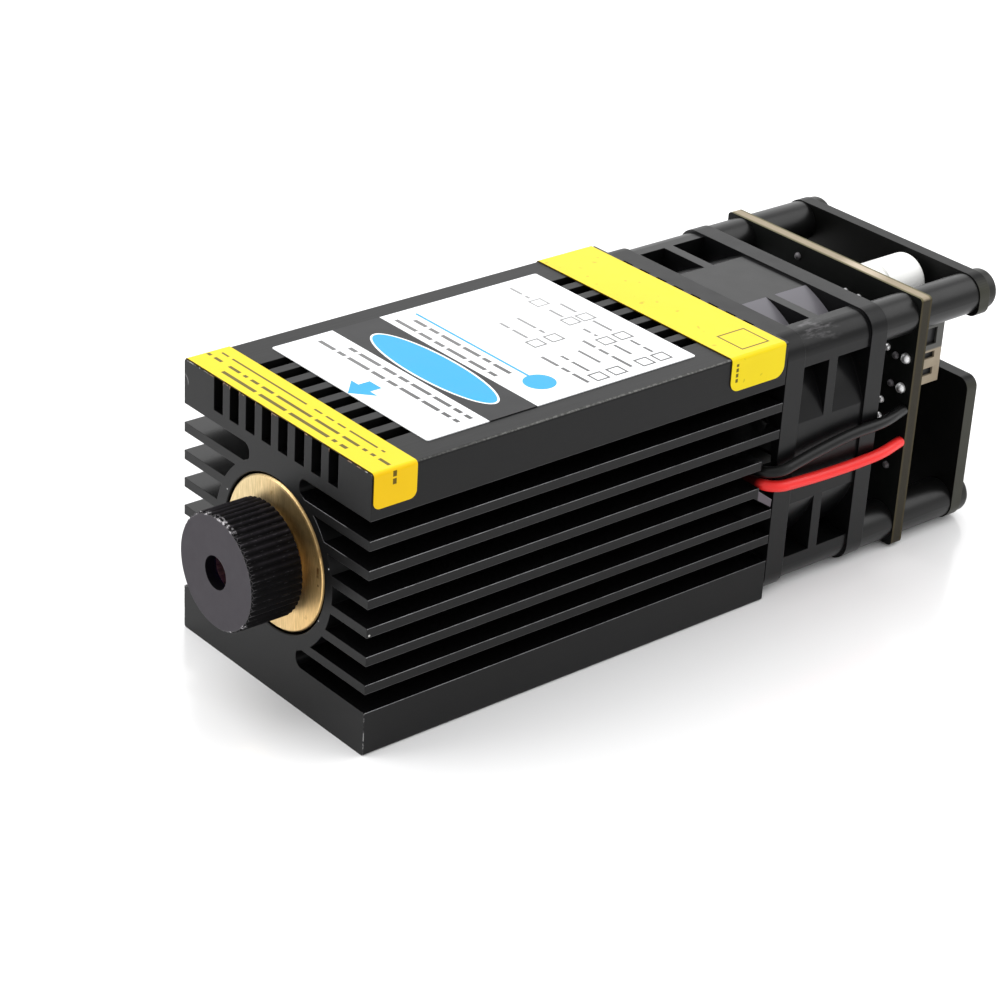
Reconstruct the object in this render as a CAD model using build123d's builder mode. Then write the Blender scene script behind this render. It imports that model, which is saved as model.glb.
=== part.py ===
from build123d import *
import math
import os

# Laser diode module: a finned square heat sink with a focusing barrel in its front,
# a square fan behind it, and a driver board between two sets of spacers under a rear plate.
# Millimetres. +X to the right seen from the front, +Y to the rear, +Z up.
# The origin is the middle of the heat sink's flat underside.

# Clearance on radius between pieces that fit together
FIT = 0.02

# Heat sink extrusion
SINK_WIDTH = 30.5
SINK_LENGTH = 53.9
SINK_CORNER_R = 0.3
PLATE_T = 4.85
FIN_T = 1.03
SLOTS_PER_SIDE = 7
SLOT_ROOT_X = 4.1
SLOT_END_R = 0.93
CORE_R = 9.7
BORE_R = 8.3
BORE_CHAMFER = 0.1
GROOVE_COUNT = 8
GROOVE_PITCH = 2.68
GROOVE_W = 1.52
GROOVE_DEPTH = 3.56

FRONT = -SINK_LENGTH / 2
REAR = SINK_LENGTH / 2
AXIS_Z = SINK_WIDTH / 2
HALF = SINK_WIDTH / 2
SLOT_T = (SINK_WIDTH - 2 * PLATE_T - (SLOTS_PER_SIDE - 1) * FIN_T) / SLOTS_PER_SIDE
SLOT_PITCH = SLOT_T + FIN_T

# The bore is machined a little to the right of and above the middle of the section
BORE_X = 0.2
BORE_Z = 0.3
BORE_HEIGHT = AXIS_Z + BORE_Z

# Opening for the leads at the rear right corner of the fins
LEAD_NOTCH_DEPTH = 2.2
LEAD_NOTCH_LOW = -3.9
LEAD_NOTCH_HIGH = 2.15
LEAD_NOTCH_INNER_X = 6.0
BENT_TAB_W = 1.6
BENT_TAB = ((-2.9, -2.06), (-2.5, -1.3), (-2.2, -1.45), (-0.1, -3.0), (-0.2, -3.85))

# Screws: four long ones at the rear, four mounting holes and two grub screws in the base
STACK_PITCH = 25.2
LONG_SCREW_R = 1.22
LONG_SCREW_BITE = 6.0
TAP_RUNOUT = 1.5
THROUGH = 0.5
PAN_HEAD_R = 2.3
PAN_HEAD_H = 1.6
HEAD_ROUND_R = 0.7
CROSS_L = 2.6
CROSS_W = 0.6
CROSS_DEPTH = 1.0
TAP_HOLE_R = 1.25
BASE_HOLES_X = 20.0
BASE_HOLES_Y = 26.0
GRUB_R = 1.45
GRUB_FROM_FRONT = (8.0, 20.0)
GRUB_RECESS = 2.6
GRUB_HEX_R = 0.75
GRUB_HEX_DEPTH = 1.4

# Brass barrel and what it holds, lengths counted from the heat sink's front face
BARREL_R = 8.28
BARREL_NECK_R = 8.05
BARREL_NECK = 3.0
BARREL_LENGTH = 24.0
RIM_CHAMFER = 0.18
THREAD_R = 4.5
THREAD_DEPTH = 9.0
THROAT_R = 3.4
DIODE_SEAT = 14.0
DIODE_FLANGE_R = 4.48
DIODE_FLANGE_T = 1.5
DIODE_CAP_R = 3.0
DIODE_CAP_H = 3.0
DIODE_CAP_EDGE = 0.2
DIODE_WINDOW_R = 0.9
DIODE_WINDOW_DEPTH = 0.3
PLUG_R = 6.4
PLUG_T = 5.0
PLUG_HOLE_R = 2.6
SPANNER_HOLE_R = 0.7
SPANNER_HOLE_X = 5.0
PIN_R = 0.23
PIN_L = 4.5
PIN_SPREAD = 1.25
SLEEVE_ON_PIN = 2.5
SLEEVE_ON_LEAD = 2.5
SLEEVE_WALL = 0.25

# Focusing knob, lens cell, lens and spring
KNOB_R = 6.12
KNOB_GAP = 0.92
KNOB_L = 5.96
KNOB_CHAMFER = 0.2
KNURLS = 50
KNURL_DEPTH = 0.2
APERTURE_R = 1.77
APERTURE_WALL = 1.5
APERTURE_CHAMFER = 0.35
CELL_R = 4.45
CELL_BORE_R = 2.7
CELL_IN_BARREL = 5.0
CELL_CHAMFER = 0.3
LENS_R = 3.25
LENS_T = 2.2
LENS_SAG = 0.9
LENS_SEAT_R = 3.27
LENS_RECESS = 0.6
SPRING_WIRE_R = 0.22
SPRING_R = 3.9
SPRING_TURNS = 4

# Yellow tapes and the sticker, places counted from the heat sink's front face
FILM_T = 0.12
TAPE_TAB = 3.8
FRONT_TAPE = (0.15, 5.25)
FRONT_TAPE_R = 0.8
REAR_TAPE = (45.75, 53.4)
REAR_TAPE_R = 1.2
LABEL_W = 25.1
LABEL = (8.6, 43.25)
LABEL_R = 0.25

# Fan
FAN_SIZE = 30.0
FAN_T = 15.0
FAN_CORNER_R = 2.3
FAN_BORE_R = 14.1
FAN_DUCT_R = 15.5
FRONT_FLANGE_T = 2.6
REAR_FLANGE_T = 2.4
RIB_FROM_FLANGE = 4.0
RIB_T = 1.3
POST_INSET = 0.25
POST_FROM_AXIS = 11.3
SCREW_HOLE_R = 1.28
WASHER_T = 0.4
SEAT_R = 7.8
SEAT_T = 1.3
STRUT_W = 1.4
STRUT_T = 1.7
STRUTS = 4
TUBE_R = 2.6
TUBE_L = 9.6
BEARING_R = 1.8
BEARING_L = 9.4
FAN_BOARD_R = 6.5
FAN_BOARD_T = 0.6
FAN_COLLAR_R = 3.45
FAN_COLLAR_L = 1.4
SHAFT_R = 0.75
SHAFT_L = 11.8
SHAFT_CLEAR = 0.03
HUB_R = 7.6
HUB_WALL = 0.9
HUB_FACE_T = 1.0
HUB_BOSS_R = 1.6
HUB_BOSS_H = 1.2
SHAFT_IN_HUB = 0.5
HUB_T = 10.8
HUB_FROM_FRONT = 1.1
MAGNET_T = 1.0
MAGNET_L = 8.4
STATOR_R = 5.2
STATOR_L = 6.0
STATOR_CORE_R = 2.65
STATOR_YOKE_R = 3.55
POLE_W = 1.6
POLE_SHOE_T = 0.8
POLE_SHOE_W = 5.0
POLES = 4
BLADES = 7
BLADE_TIP_R = 13.6
BLADE_T = 0.9
BLADE_CAMBER = 1.1
BLADE_EDGE = 0.3
BLADE_STATIONS = ((6.9, 55.0, 9.6), (14.2, 36.0, 12.0))

# Driver board, spacers and rear plate
SPACER_R = 2.3
SHORT_SPACER = 5.0
LONG_SPACER = 8.0
BOARD_T = 1.6
PLATE_SIZE = 30.0
BOARD_CORNER_R = 0.5
PLATE_CORNER_R = 2.3
BACK_T = 1.6
NOTCH_LOW = 2.95
NOTCH_HIGH = 10.35
NOTCH_INNER_X = 7.2
NOTCH_R = 1.3

FAN_FRONT = REAR + WASHER_T
FAN_REAR = FAN_FRONT + FAN_T
BOARD_FRONT = FAN_REAR + SHORT_SPACER
BOARD_REAR = BOARD_FRONT + BOARD_T
BACK_FRONT = BOARD_REAR + LONG_SPACER
BACK_REAR = BACK_FRONT + BACK_T

# Parts on the board, places from the middle of the section
CAP_R = 3.0
CAP_L = 7.1
CAP_ROUND_R = 0.5
CAP_GROOVE_FROM_FOOT = 1.2
CAP_GROOVE_W = 0.6
CAP_GROOVE_DEPTH = 0.25
CAP_X = 5.0
CAP_Z = 11.95
SOCKET_X = 9.95
SOCKET_Z = 6.35
SOCKET_D = 4.5
SOCKET_W = 7.7
SOCKET_H = 6.0
SOCKET_WALL = 0.6
SOCKET_FLOOR = 1.4
SOCKET_WINDOW_FROM_BOARD = 1.6
SOCKET_WINDOW_L = 3.3
SOCKET_WINDOW_DEPTH = 0.4
SOCKET_WINDOWS = ((-2.4, 0.9), (-0.4, 0.8), (1.9, 2.0))
PINS_LENGTH = 6.8
PINS_PROUD = 0.5
SOCKET_PIN = 0.5
SOCKET_PITCH = 2.0
COIL_SIZE = 6.0
COIL_H = 3.8
COIL_CORNER_R = 1.2
COIL_FLANGE_T = 0.8
COIL_WINDING_R = 2.6
COIL_TOP_R = 2.95
COIL_X = -4.6
COIL_Z = 9.9
CHIP_W = 5.0
CHIP_D = 4.0
CHIP_H = 1.5
CHIP_CHAMFER = 0.2
CHIP_X = -2.0
CHIP_Z = -3.0
RECTIFIER_W = 4.4
RECTIFIER_D = 2.7
RECTIFIER_H = 2.2
RECTIFIER_X = -8.2
RECTIFIER_Z = 1.5
RESISTOR = (3.1, 1.6, 0.6)
RESISTOR_SPOTS = ((4.2, 0.5), (4.2, -2.4), (4.2, -5.3), (-8.8, -5.4))
LARGE_JOINT_R = 0.62
LARGE_JOINTS = ((13.8, 7.65), (13.6, 4.05))
SMALL_JOINT_R = 0.43
SMALL_JOINTS = (
    (11.0, 7.95), (12.3, 7.45), (12.1, 4.05), (11.0, 1.65), (11.0, -0.35), (12.9, -5.65),
    (-3.6, 13.5), (CAP_X - 1.0, CAP_Z), (CAP_X + 1.0, CAP_Z), (COIL_X, COIL_Z - 2.5),
)

# Leads from the diode to the board, and the fan's own pair
LEAD_R = 0.62
LEAD_GAP = 0.08
LEAD_END = 0.21
FAN_LEAD_R = 0.4
FAN_LEAD_XS = (-3.4, -4.8)
FAN_LEAD_Z = -3.4
ARC_SHARE = 0.45


def front_view(y):
    """Plane across the module at y, with x to the right and z up from the middle of the section."""
    return Plane(origin=(0, y, AXIS_Z), x_dir=(1, 0, 0), z_dir=(0, -1, 0))


def bore_view(y):
    """Plane across the module at y, centred on the optical axis."""
    return Plane(origin=(BORE_X, y, BORE_HEIGHT), x_dir=(1, 0, 0), z_dir=(0, -1, 0))


def finish(part, name):
    """Names a finished piece and writes it."""
    part.label = name
    export_step(part, f"parts/{name}.step")


OPTICAL_AXIS = Axis((BORE_X, 0, BORE_HEIGHT), (0, 1, 0))
TURNING_PLANE = Plane(origin=(BORE_X, 0, BORE_HEIGHT))
TOP = SINK_WIDTH
STACK = GridLocations(STACK_PITCH, STACK_PITCH, 2, 2)

os.makedirs("parts", exist_ok=True)

# Heat sink: a round core in a square extrusion, slots from both sides, grooves on top
with BuildPart() as heat_sink:
    with BuildSketch(front_view(FRONT)):
        RectangleRounded(SINK_WIDTH, SINK_WIDTH, SINK_CORNER_R)
        slot_length = HALF - SLOT_ROOT_X
        with GridLocations(HALF + SLOT_ROOT_X, SLOT_PITCH, 2, SLOTS_PER_SIDE):
            RectangleRounded(slot_length, SLOT_T, SLOT_END_R, mode=Mode.SUBTRACT)
        with GridLocations(SINK_WIDTH, SLOT_PITCH, 2, SLOTS_PER_SIDE):
            Rectangle(slot_length / 2, SLOT_T, mode=Mode.SUBTRACT)
        Circle(CORE_R)
        with Locations((0, HALF - GROOVE_DEPTH / 2)):
            with GridLocations(GROOVE_PITCH, 0, GROOVE_COUNT, 1):
                Rectangle(GROOVE_W, GROOVE_DEPTH, mode=Mode.SUBTRACT)
        with Locations((BORE_X, BORE_Z)):
            Circle(BORE_R, mode=Mode.SUBTRACT)
    extrude(amount=-SINK_LENGTH)
    # leads leave the bore here and pass the ends of two fins
    with BuildSketch(front_view(REAR)):
        with Locations(((LEAD_NOTCH_INNER_X + HALF) / 2, (LEAD_NOTCH_LOW + LEAD_NOTCH_HIGH) / 2)):
            Rectangle(HALF - LEAD_NOTCH_INNER_X, LEAD_NOTCH_HIGH - LEAD_NOTCH_LOW)
    extrude(amount=LEAD_NOTCH_DEPTH, mode=Mode.SUBTRACT)
    # the corner of the lower of these fins is bent down
    with BuildSketch(Plane.YZ.offset(HALF)):
        Polygon(*[(REAR + y, AXIS_Z + z) for y, z in BENT_TAB], align=None)
    extrude(amount=-BENT_TAB_W)
    # threaded holes for the long screws
    with BuildSketch(front_view(REAR)):
        with STACK:
            Circle(LONG_SCREW_R + FIT)
    extrude(amount=LONG_SCREW_BITE + TAP_RUNOUT, mode=Mode.SUBTRACT)
    # threaded mounting holes and grub screw holes from below
    with BuildSketch(Plane.XY):
        with GridLocations(BASE_HOLES_X, BASE_HOLES_Y, 2, 2):
            Circle(TAP_HOLE_R)
    extrude(amount=PLATE_T, mode=Mode.SUBTRACT)
    with BuildSketch(Plane.XY):
        with Locations(*[(BORE_X, FRONT + y) for y in GRUB_FROM_FRONT]):
            Circle(GRUB_R + FIT)
    extrude(amount=BORE_HEIGHT - BORE_R + THROUGH, mode=Mode.SUBTRACT)
    front_circles = heat_sink.faces().sort_by(Axis.Y)[0].edges().filter_by(GeomType.CIRCLE)
    bore_mouth = front_circles.filter_by(lambda edge: abs(edge.radius - BORE_R) < FIT)
    chamfer(bore_mouth, length=BORE_CHAMFER)
finish(heat_sink.part, "heat_sink")

# Brass barrel: threaded for the lens cell in front, seat for the diode behind
with BuildPart() as laser_barrel:
    neck_end = FRONT + BARREL_NECK
    end = FRONT + BARREL_LENGTH
    seat = FRONT + DIODE_SEAT
    plug_start = seat + DIODE_FLANGE_T
    with BuildSketch(TURNING_PLANE):
        Polygon(
            (THREAD_R + RIM_CHAMFER, FRONT),
            (BARREL_NECK_R - RIM_CHAMFER, FRONT),
            (BARREL_NECK_R, FRONT + RIM_CHAMFER),
            (BARREL_NECK_R, neck_end),
            (BARREL_R, neck_end),
            (BARREL_R, end),
            (PLUG_R + FIT, end),
            (PLUG_R + FIT, plug_start),
            (DIODE_FLANGE_R + FIT, plug_start),
            (DIODE_FLANGE_R + FIT, seat),
            (THROAT_R, seat),
            (THROAT_R, FRONT + THREAD_DEPTH),
            (THREAD_R, FRONT + THREAD_DEPTH),
            (THREAD_R, FRONT + RIM_CHAMFER),
            align=None,
        )
    revolve(axis=OPTICAL_AXIS)
finish(laser_barrel.part, "laser_barrel")

# Threaded plug that presses the diode's flange on its seat
with BuildPart() as retaining_plug:
    with BuildSketch(bore_view(plug_start)):
        Circle(PLUG_R)
        Circle(PLUG_HOLE_R, mode=Mode.SUBTRACT)
        with Locations((SPANNER_HOLE_X, 0), (-SPANNER_HOLE_X, 0)):
            Circle(SPANNER_HOLE_R, mode=Mode.SUBTRACT)
    extrude(amount=-PLUG_T)
finish(retaining_plug.part, "retaining_plug")

# Laser diode: flange, cap with a window recess, and two pins
cap_front = seat - DIODE_CAP_H
with BuildPart() as laser_diode:
    with BuildSketch(TURNING_PLANE):
        Polygon(
            (0, seat),
            (0, cap_front + DIODE_WINDOW_DEPTH),
            (DIODE_WINDOW_R, cap_front + DIODE_WINDOW_DEPTH),
            (DIODE_WINDOW_R, cap_front),
            (DIODE_CAP_R - DIODE_CAP_EDGE, cap_front),
            (DIODE_CAP_R, cap_front + DIODE_CAP_EDGE),
            (DIODE_CAP_R, seat),
            (DIODE_FLANGE_R, seat),
            (DIODE_FLANGE_R, plug_start),
            (0, plug_start),
            align=None,
        )
    revolve(axis=OPTICAL_AXIS)
    with BuildSketch(bore_view(plug_start)):
        with Locations((-PIN_SPREAD, 0), (PIN_SPREAD, 0)):
            Circle(PIN_R)
    extrude(amount=-PIN_L)
finish(laser_diode.part, "laser_diode")

# Shrink sleeves over the joints between pins and leads
lead_start = plug_start + PIN_L
with BuildPart() as pin_sleeves:
    sleeve_start = lead_start - SLEEVE_ON_PIN
    with BuildSketch(bore_view(sleeve_start)):
        with Locations((-PIN_SPREAD, 0), (PIN_SPREAD, 0)):
            Circle(LEAD_R + SLEEVE_WALL)
            Circle(PIN_R + FIT, mode=Mode.SUBTRACT)
    extrude(amount=-SLEEVE_ON_PIN)
    with BuildSketch(bore_view(lead_start)):
        with Locations((-PIN_SPREAD, 0), (PIN_SPREAD, 0)):
            Circle(LEAD_R + SLEEVE_WALL)
            Circle(LEAD_R + FIT, mode=Mode.SUBTRACT)
    extrude(amount=-SLEEVE_ON_LEAD)
finish(pin_sleeves.part, "pin_sleeves")

# Grub screws that clamp the barrel from below
with BuildPart() as grub_screws:
    with BuildSketch(Plane.XY.offset(GRUB_RECESS)):
        with Locations(*[(BORE_X, FRONT + y) for y in GRUB_FROM_FRONT]):
            Circle(GRUB_R)
    extrude(amount=BORE_HEIGHT - BARREL_R - GRUB_RECESS)
    with BuildSketch(Plane.XY.offset(GRUB_RECESS)):
        with Locations(*[(BORE_X, FRONT + y) for y in GRUB_FROM_FRONT]):
            RegularPolygon(GRUB_HEX_R, 6)
    extrude(amount=GRUB_HEX_DEPTH, mode=Mode.SUBTRACT)
finish(grub_screws.part, "grub_screws")

# Focusing knob: straight knurl, chamfered rim and a small aperture
knob_rear = FRONT - KNOB_GAP
knob_front = knob_rear - KNOB_L
cell_front = knob_front + APERTURE_WALL
with BuildPart() as focus_knob:
    with BuildSketch(bore_view(knob_rear)):
        with BuildLine():
            half_step = math.pi / KNURLS
            rim = []
            for k in range(2 * KNURLS):
                r = KNOB_R - KNURL_DEPTH * (k % 2)
                rim.append((r * math.cos(k * half_step), r * math.sin(k * half_step)))
            Polyline(*rim, close=True)
        make_face()
    extrude(amount=KNOB_L)
    with BuildSketch(TURNING_PLANE):
        Polygon(
            (APERTURE_R, knob_front),
            (KNOB_R - KNOB_CHAMFER, knob_front),
            (KNOB_R, knob_front + KNOB_CHAMFER),
            (KNOB_R, knob_rear - KNOB_CHAMFER / 2),
            (KNOB_R - KNOB_CHAMFER / 2, knob_rear),
            (CELL_R + FIT, knob_rear),
            (CELL_R + FIT, cell_front),
            (APERTURE_R + APERTURE_CHAMFER, cell_front),
            (APERTURE_R, cell_front - APERTURE_CHAMFER),
            align=None,
        )
    revolve(axis=OPTICAL_AXIS, mode=Mode.INTERSECT)
finish(focus_knob.part, "focus_knob")

# Threaded cell that carries the lens
cell_rear = FRONT + CELL_IN_BARREL
lens_front = cell_front + LENS_RECESS
with BuildPart() as lens_cell:
    with BuildSketch(TURNING_PLANE):
        Polygon(
            (LENS_SEAT_R, cell_front),
            (CELL_R, cell_front),
            (CELL_R, cell_rear - CELL_CHAMFER),
            (CELL_R - CELL_CHAMFER, cell_rear),
            (CELL_BORE_R, cell_rear),
            (CELL_BORE_R, lens_front + LENS_T),
            (LENS_SEAT_R, lens_front + LENS_T),
            align=None,
        )
    revolve(axis=OPTICAL_AXIS)
finish(lens_cell.part, "lens_cell")

# Lens: convex towards the front, flat rear face on the cell's shoulder
with BuildPart() as lens:
    with BuildSketch(TURNING_PLANE):
        with BuildLine():
            dome = TangentArc((0, lens_front), (LENS_R, lens_front + LENS_SAG), tangent=(1, 0))
            Polyline(dome @ 1, (LENS_R, lens_front + LENS_T), (0, lens_front + LENS_T), dome @ 0)
        make_face()
    revolve(axis=OPTICAL_AXIS)
finish(lens.part, "lens")

# Spring between the cell and the barrel's shoulder, which takes up the thread's play
with BuildPart() as lens_spring:
    spring_length = THREAD_DEPTH - CELL_IN_BARREL - 2 * SPRING_WIRE_R
    spring_start = cell_rear + SPRING_WIRE_R
    with BuildLine():
        coil = Helix(
            pitch=spring_length / SPRING_TURNS,
            height=spring_length,
            radius=SPRING_R,
            center=(BORE_X, spring_start, BORE_HEIGHT),
            direction=(0, 1, 0),
        )
    with BuildSketch(Plane(origin=coil @ 0, z_dir=coil % 0)):
        Circle(SPRING_WIRE_R)
    sweep(path=coil, is_frenet=True)
finish(lens_spring.part, "lens_spring")


def wrapped_tape(span, corner_r):
    """Thin tape over the top and down both sides, with rounded free corners."""
    y0 = FRONT + span[0]
    y1 = FRONT + span[1]
    outer = HALF + FILM_T
    with BuildPart() as tape:
        with BuildSketch(front_view(y0)):
            RectangleRounded(2 * outer, 2 * outer, SINK_CORNER_R + FILM_T)
            RectangleRounded(SINK_WIDTH, SINK_WIDTH, SINK_CORNER_R, mode=Mode.SUBTRACT)
            with Locations((0, -TAPE_TAB)):
                Rectangle(3 * outer, 2 * outer, mode=Mode.SUBTRACT)
        extrude(amount=-(y1 - y0))
        lowest = tape.faces().filter_by(GeomType.PLANE).sort_by(Axis.Z)[:2]
        fillet(lowest.edges().filter_by(Axis.X), radius=corner_r)
    return tape.part


front_tape = wrapped_tape(FRONT_TAPE, FRONT_TAPE_R)
finish(front_tape, "front_tape")
rear_tape = wrapped_tape(REAR_TAPE, REAR_TAPE_R)
finish(rear_tape, "rear_tape")

# Sticker on the grooved top
with BuildPart() as label:
    with BuildSketch(Plane.XY.offset(TOP)):
        with Locations((0, FRONT + (LABEL[0] + LABEL[1]) / 2)):
            RectangleRounded(LABEL_W, LABEL[1] - LABEL[0], LABEL_R)
    extrude(amount=FILM_T)
finish(label.part, "label")

# Fan frame: two square flanges and a rib on a round duct, with corner posts between them
rib_front = FAN_FRONT + FRONT_FLANGE_T + RIB_FROM_FLANGE
seat_front = FAN_REAR - SEAT_T
post_side = FAN_SIZE - 2 * POST_INSET
with BuildPart() as fan_frame:
    for y, thickness, side in (
        (FAN_FRONT, FRONT_FLANGE_T, FAN_SIZE),
        (rib_front, RIB_T, post_side),
        (FAN_REAR - REAR_FLANGE_T, REAR_FLANGE_T, FAN_SIZE),
    ):
        with BuildSketch(front_view(y)):
            RectangleRounded(side, side, FAN_CORNER_R)
        extrude(amount=-thickness)
    with BuildSketch(front_view(FAN_FRONT + FRONT_FLANGE_T / 2)):
        Circle(FAN_DUCT_R)
        Rectangle(post_side, post_side, mode=Mode.INTERSECT)
        post = post_side / 2 - POST_FROM_AXIS
        with GridLocations(post_side - post, post_side - post, 2, 2):
            Rectangle(post, post)
        RectangleRounded(post_side, post_side, FAN_CORNER_R, mode=Mode.INTERSECT)
    extrude(amount=-(FAN_T - FRONT_FLANGE_T))
    with BuildSketch(front_view(FAN_FRONT)):
        Circle(FAN_BORE_R)
        with STACK:
            Circle(SCREW_HOLE_R)
    extrude(amount=-FAN_T, mode=Mode.SUBTRACT)
    # motor seat held by struts at the rear
    with BuildSketch(front_view(FAN_REAR)):
        Circle(SEAT_R)
    extrude(amount=SEAT_T)
    with BuildSketch(front_view(FAN_REAR)):
        with PolarLocations((SEAT_R + FAN_BORE_R) / 2, STRUTS, start_angle=45):
            Rectangle(FAN_BORE_R - SEAT_R + 2 * THROUGH, STRUT_W)
    extrude(amount=STRUT_T)
    with BuildSketch(front_view(seat_front)):
        Circle(TUBE_R)
        Circle(BEARING_R, mode=Mode.SUBTRACT)
    extrude(amount=TUBE_L)
    with BuildSketch(front_view(FAN_REAR)):
        with Locations(*[(x, FAN_LEAD_Z) for x in FAN_LEAD_XS]):
            Circle(FAN_LEAD_R + FIT)
    extrude(amount=SEAT_T, mode=Mode.SUBTRACT)
finish(fan_frame.part, "fan_frame")


def blade_plane(turn, radius, angle):
    """Plane square to the radius, its x along the blade's chord."""
    a = math.radians(turn)
    out = (math.cos(a), 0, math.sin(a))
    origin = (radius * out[0], hub_front + HUB_T / 2, AXIS_Z + radius * out[2])
    return Plane(origin=origin, x_dir=(0, 1, 0), z_dir=out).rotated((0, 0, 90 - angle))


# Fan rotor: twisted blades on a cup-shaped hub
hub_front = FAN_FRONT + HUB_FROM_FRONT
hub_inside = hub_front + HUB_FACE_T
with BuildPart() as fan_rotor:
    for blade in range(BLADES):
        turn = 360 * blade / BLADES
        for radius, angle, chord in BLADE_STATIONS:
            with BuildSketch(blade_plane(turn, radius, angle)):
                with BuildLine():
                    for side in (1, -1):
                        ThreePointArc(
                            (-chord / 2, side * BLADE_EDGE / 2),
                            (0, BLADE_CAMBER + side * BLADE_T / 2),
                            (chord / 2, side * BLADE_EDGE / 2),
                        )
                        end_x = side * chord / 2
                        Line((end_x, BLADE_EDGE / 2), (end_x, -BLADE_EDGE / 2))
                make_face()
        loft()
    with BuildSketch(front_view(hub_front)):
        Circle(BLADE_TIP_R)
    extrude(amount=-HUB_T, mode=Mode.INTERSECT)
    with BuildSketch(front_view(hub_front)):
        Circle(HUB_R)
    extrude(amount=-HUB_T)
    with BuildSketch(front_view(hub_inside)):
        Circle(HUB_R - HUB_WALL)
    extrude(amount=-HUB_T, mode=Mode.SUBTRACT)
    with BuildSketch(front_view(hub_inside)):
        Circle(HUB_BOSS_R)
    extrude(amount=-HUB_BOSS_H)
    with BuildSketch(front_view(hub_front + SHAFT_IN_HUB)):
        Circle(SHAFT_R)
    extrude(amount=-HUB_T, mode=Mode.SUBTRACT)
finish(fan_rotor.part, "fan_rotor")

# Ring magnet inside the hub
with BuildPart() as rotor_magnet:
    with BuildSketch(front_view(hub_inside)):
        Circle(HUB_R - HUB_WALL)
        Circle(HUB_R - HUB_WALL - MAGNET_T, mode=Mode.SUBTRACT)
    extrude(amount=-MAGNET_L)
finish(rotor_magnet.part, "rotor_magnet")

# Shaft fixed in the hub, and the sleeve that it runs in
with BuildPart() as fan_shaft:
    with BuildSketch(front_view(hub_front + SHAFT_IN_HUB)):
        Circle(SHAFT_R)
    extrude(amount=-SHAFT_L)
finish(fan_shaft.part, "fan_shaft")

with BuildPart() as fan_bearing:
    with BuildSketch(front_view(seat_front)):
        Circle(BEARING_R)
        Circle(SHAFT_R + SHAFT_CLEAR, mode=Mode.SUBTRACT)
    extrude(amount=BEARING_L)
finish(fan_bearing.part, "fan_bearing")

# Stator: four wound poles round the bearing tube
with BuildPart() as fan_stator:
    with BuildSketch(front_view(seat_front - FAN_BOARD_T - FAN_COLLAR_L)):
        Circle(STATOR_YOKE_R)
        with PolarLocations(STATOR_R / 2, POLES):
            Rectangle(STATOR_R, POLE_W)
        with PolarLocations(STATOR_R - POLE_SHOE_T / 2, POLES):
            Rectangle(POLE_SHOE_T, POLE_SHOE_W)
        Circle(STATOR_R, mode=Mode.INTERSECT)
        Circle(STATOR_CORE_R, mode=Mode.SUBTRACT)
    extrude(amount=STATOR_L)
finish(fan_stator.part, "fan_stator")

# The fan's own small board on the motor seat
with BuildPart() as fan_board:
    with BuildSketch(front_view(seat_front)):
        Circle(FAN_BOARD_R)
        Circle(STATOR_CORE_R, mode=Mode.SUBTRACT)
    extrude(amount=FAN_BOARD_T)
    with BuildSketch(front_view(seat_front - FAN_BOARD_T)):
        Circle(FAN_COLLAR_R)
        Circle(STATOR_CORE_R, mode=Mode.SUBTRACT)
    extrude(amount=FAN_COLLAR_L)
finish(fan_board.part, "fan_board")


def ring_stack(y0, length, radius):
    """Four round spacers or washers on the long screws."""
    with BuildPart() as rings:
        with BuildSketch(front_view(y0)):
            with STACK:
                Circle(radius)
                Circle(SCREW_HOLE_R, mode=Mode.SUBTRACT)
        extrude(amount=-length)
    return rings.part


finish(ring_stack(REAR, WASHER_T, SPACER_R), "fan_washers")
finish(ring_stack(FAN_REAR, SHORT_SPACER, SPACER_R), "short_spacers")
finish(ring_stack(BOARD_REAR, LONG_SPACER, SPACER_R), "long_spacers")

# Driver board
pin_spots = [(SOCKET_X, SOCKET_Z + k * SOCKET_PITCH) for k in (-1, 0, 1)]
with BuildPart() as driver_board:
    with BuildSketch(front_view(BOARD_FRONT)):
        RectangleRounded(PLATE_SIZE, PLATE_SIZE, BOARD_CORNER_R)
        with STACK:
            Circle(SCREW_HOLE_R, mode=Mode.SUBTRACT)
        with Locations(*pin_spots):
            Rectangle(SOCKET_PIN + 2 * FIT, SOCKET_PIN + 2 * FIT, mode=Mode.SUBTRACT)
    extrude(amount=-BOARD_T)
finish(driver_board.part, "driver_board")

# Rear plate, cut away at the right for the plug
with BuildPart() as rear_plate:
    with BuildSketch(front_view(BACK_FRONT)):
        RectangleRounded(PLATE_SIZE, PLATE_SIZE, PLATE_CORNER_R)
        notch_w = PLATE_SIZE / 2 - NOTCH_INNER_X
        with Locations((NOTCH_INNER_X + notch_w / 2, (NOTCH_LOW + NOTCH_HIGH) / 2)):
            Rectangle(notch_w, NOTCH_HIGH - NOTCH_LOW, mode=Mode.SUBTRACT)
        with STACK:
            Circle(SCREW_HOLE_R, mode=Mode.SUBTRACT)
    extrude(amount=-BACK_T)
    plate_edges = rear_plate.edges().filter_by(Axis.Y)
    notch_edges = plate_edges.filter_by_position(Axis.Z, AXIS_Z + NOTCH_LOW, AXIS_Z + NOTCH_HIGH)
    fillet(notch_edges, radius=NOTCH_R)
finish(rear_plate.part, "rear_plate")

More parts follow.
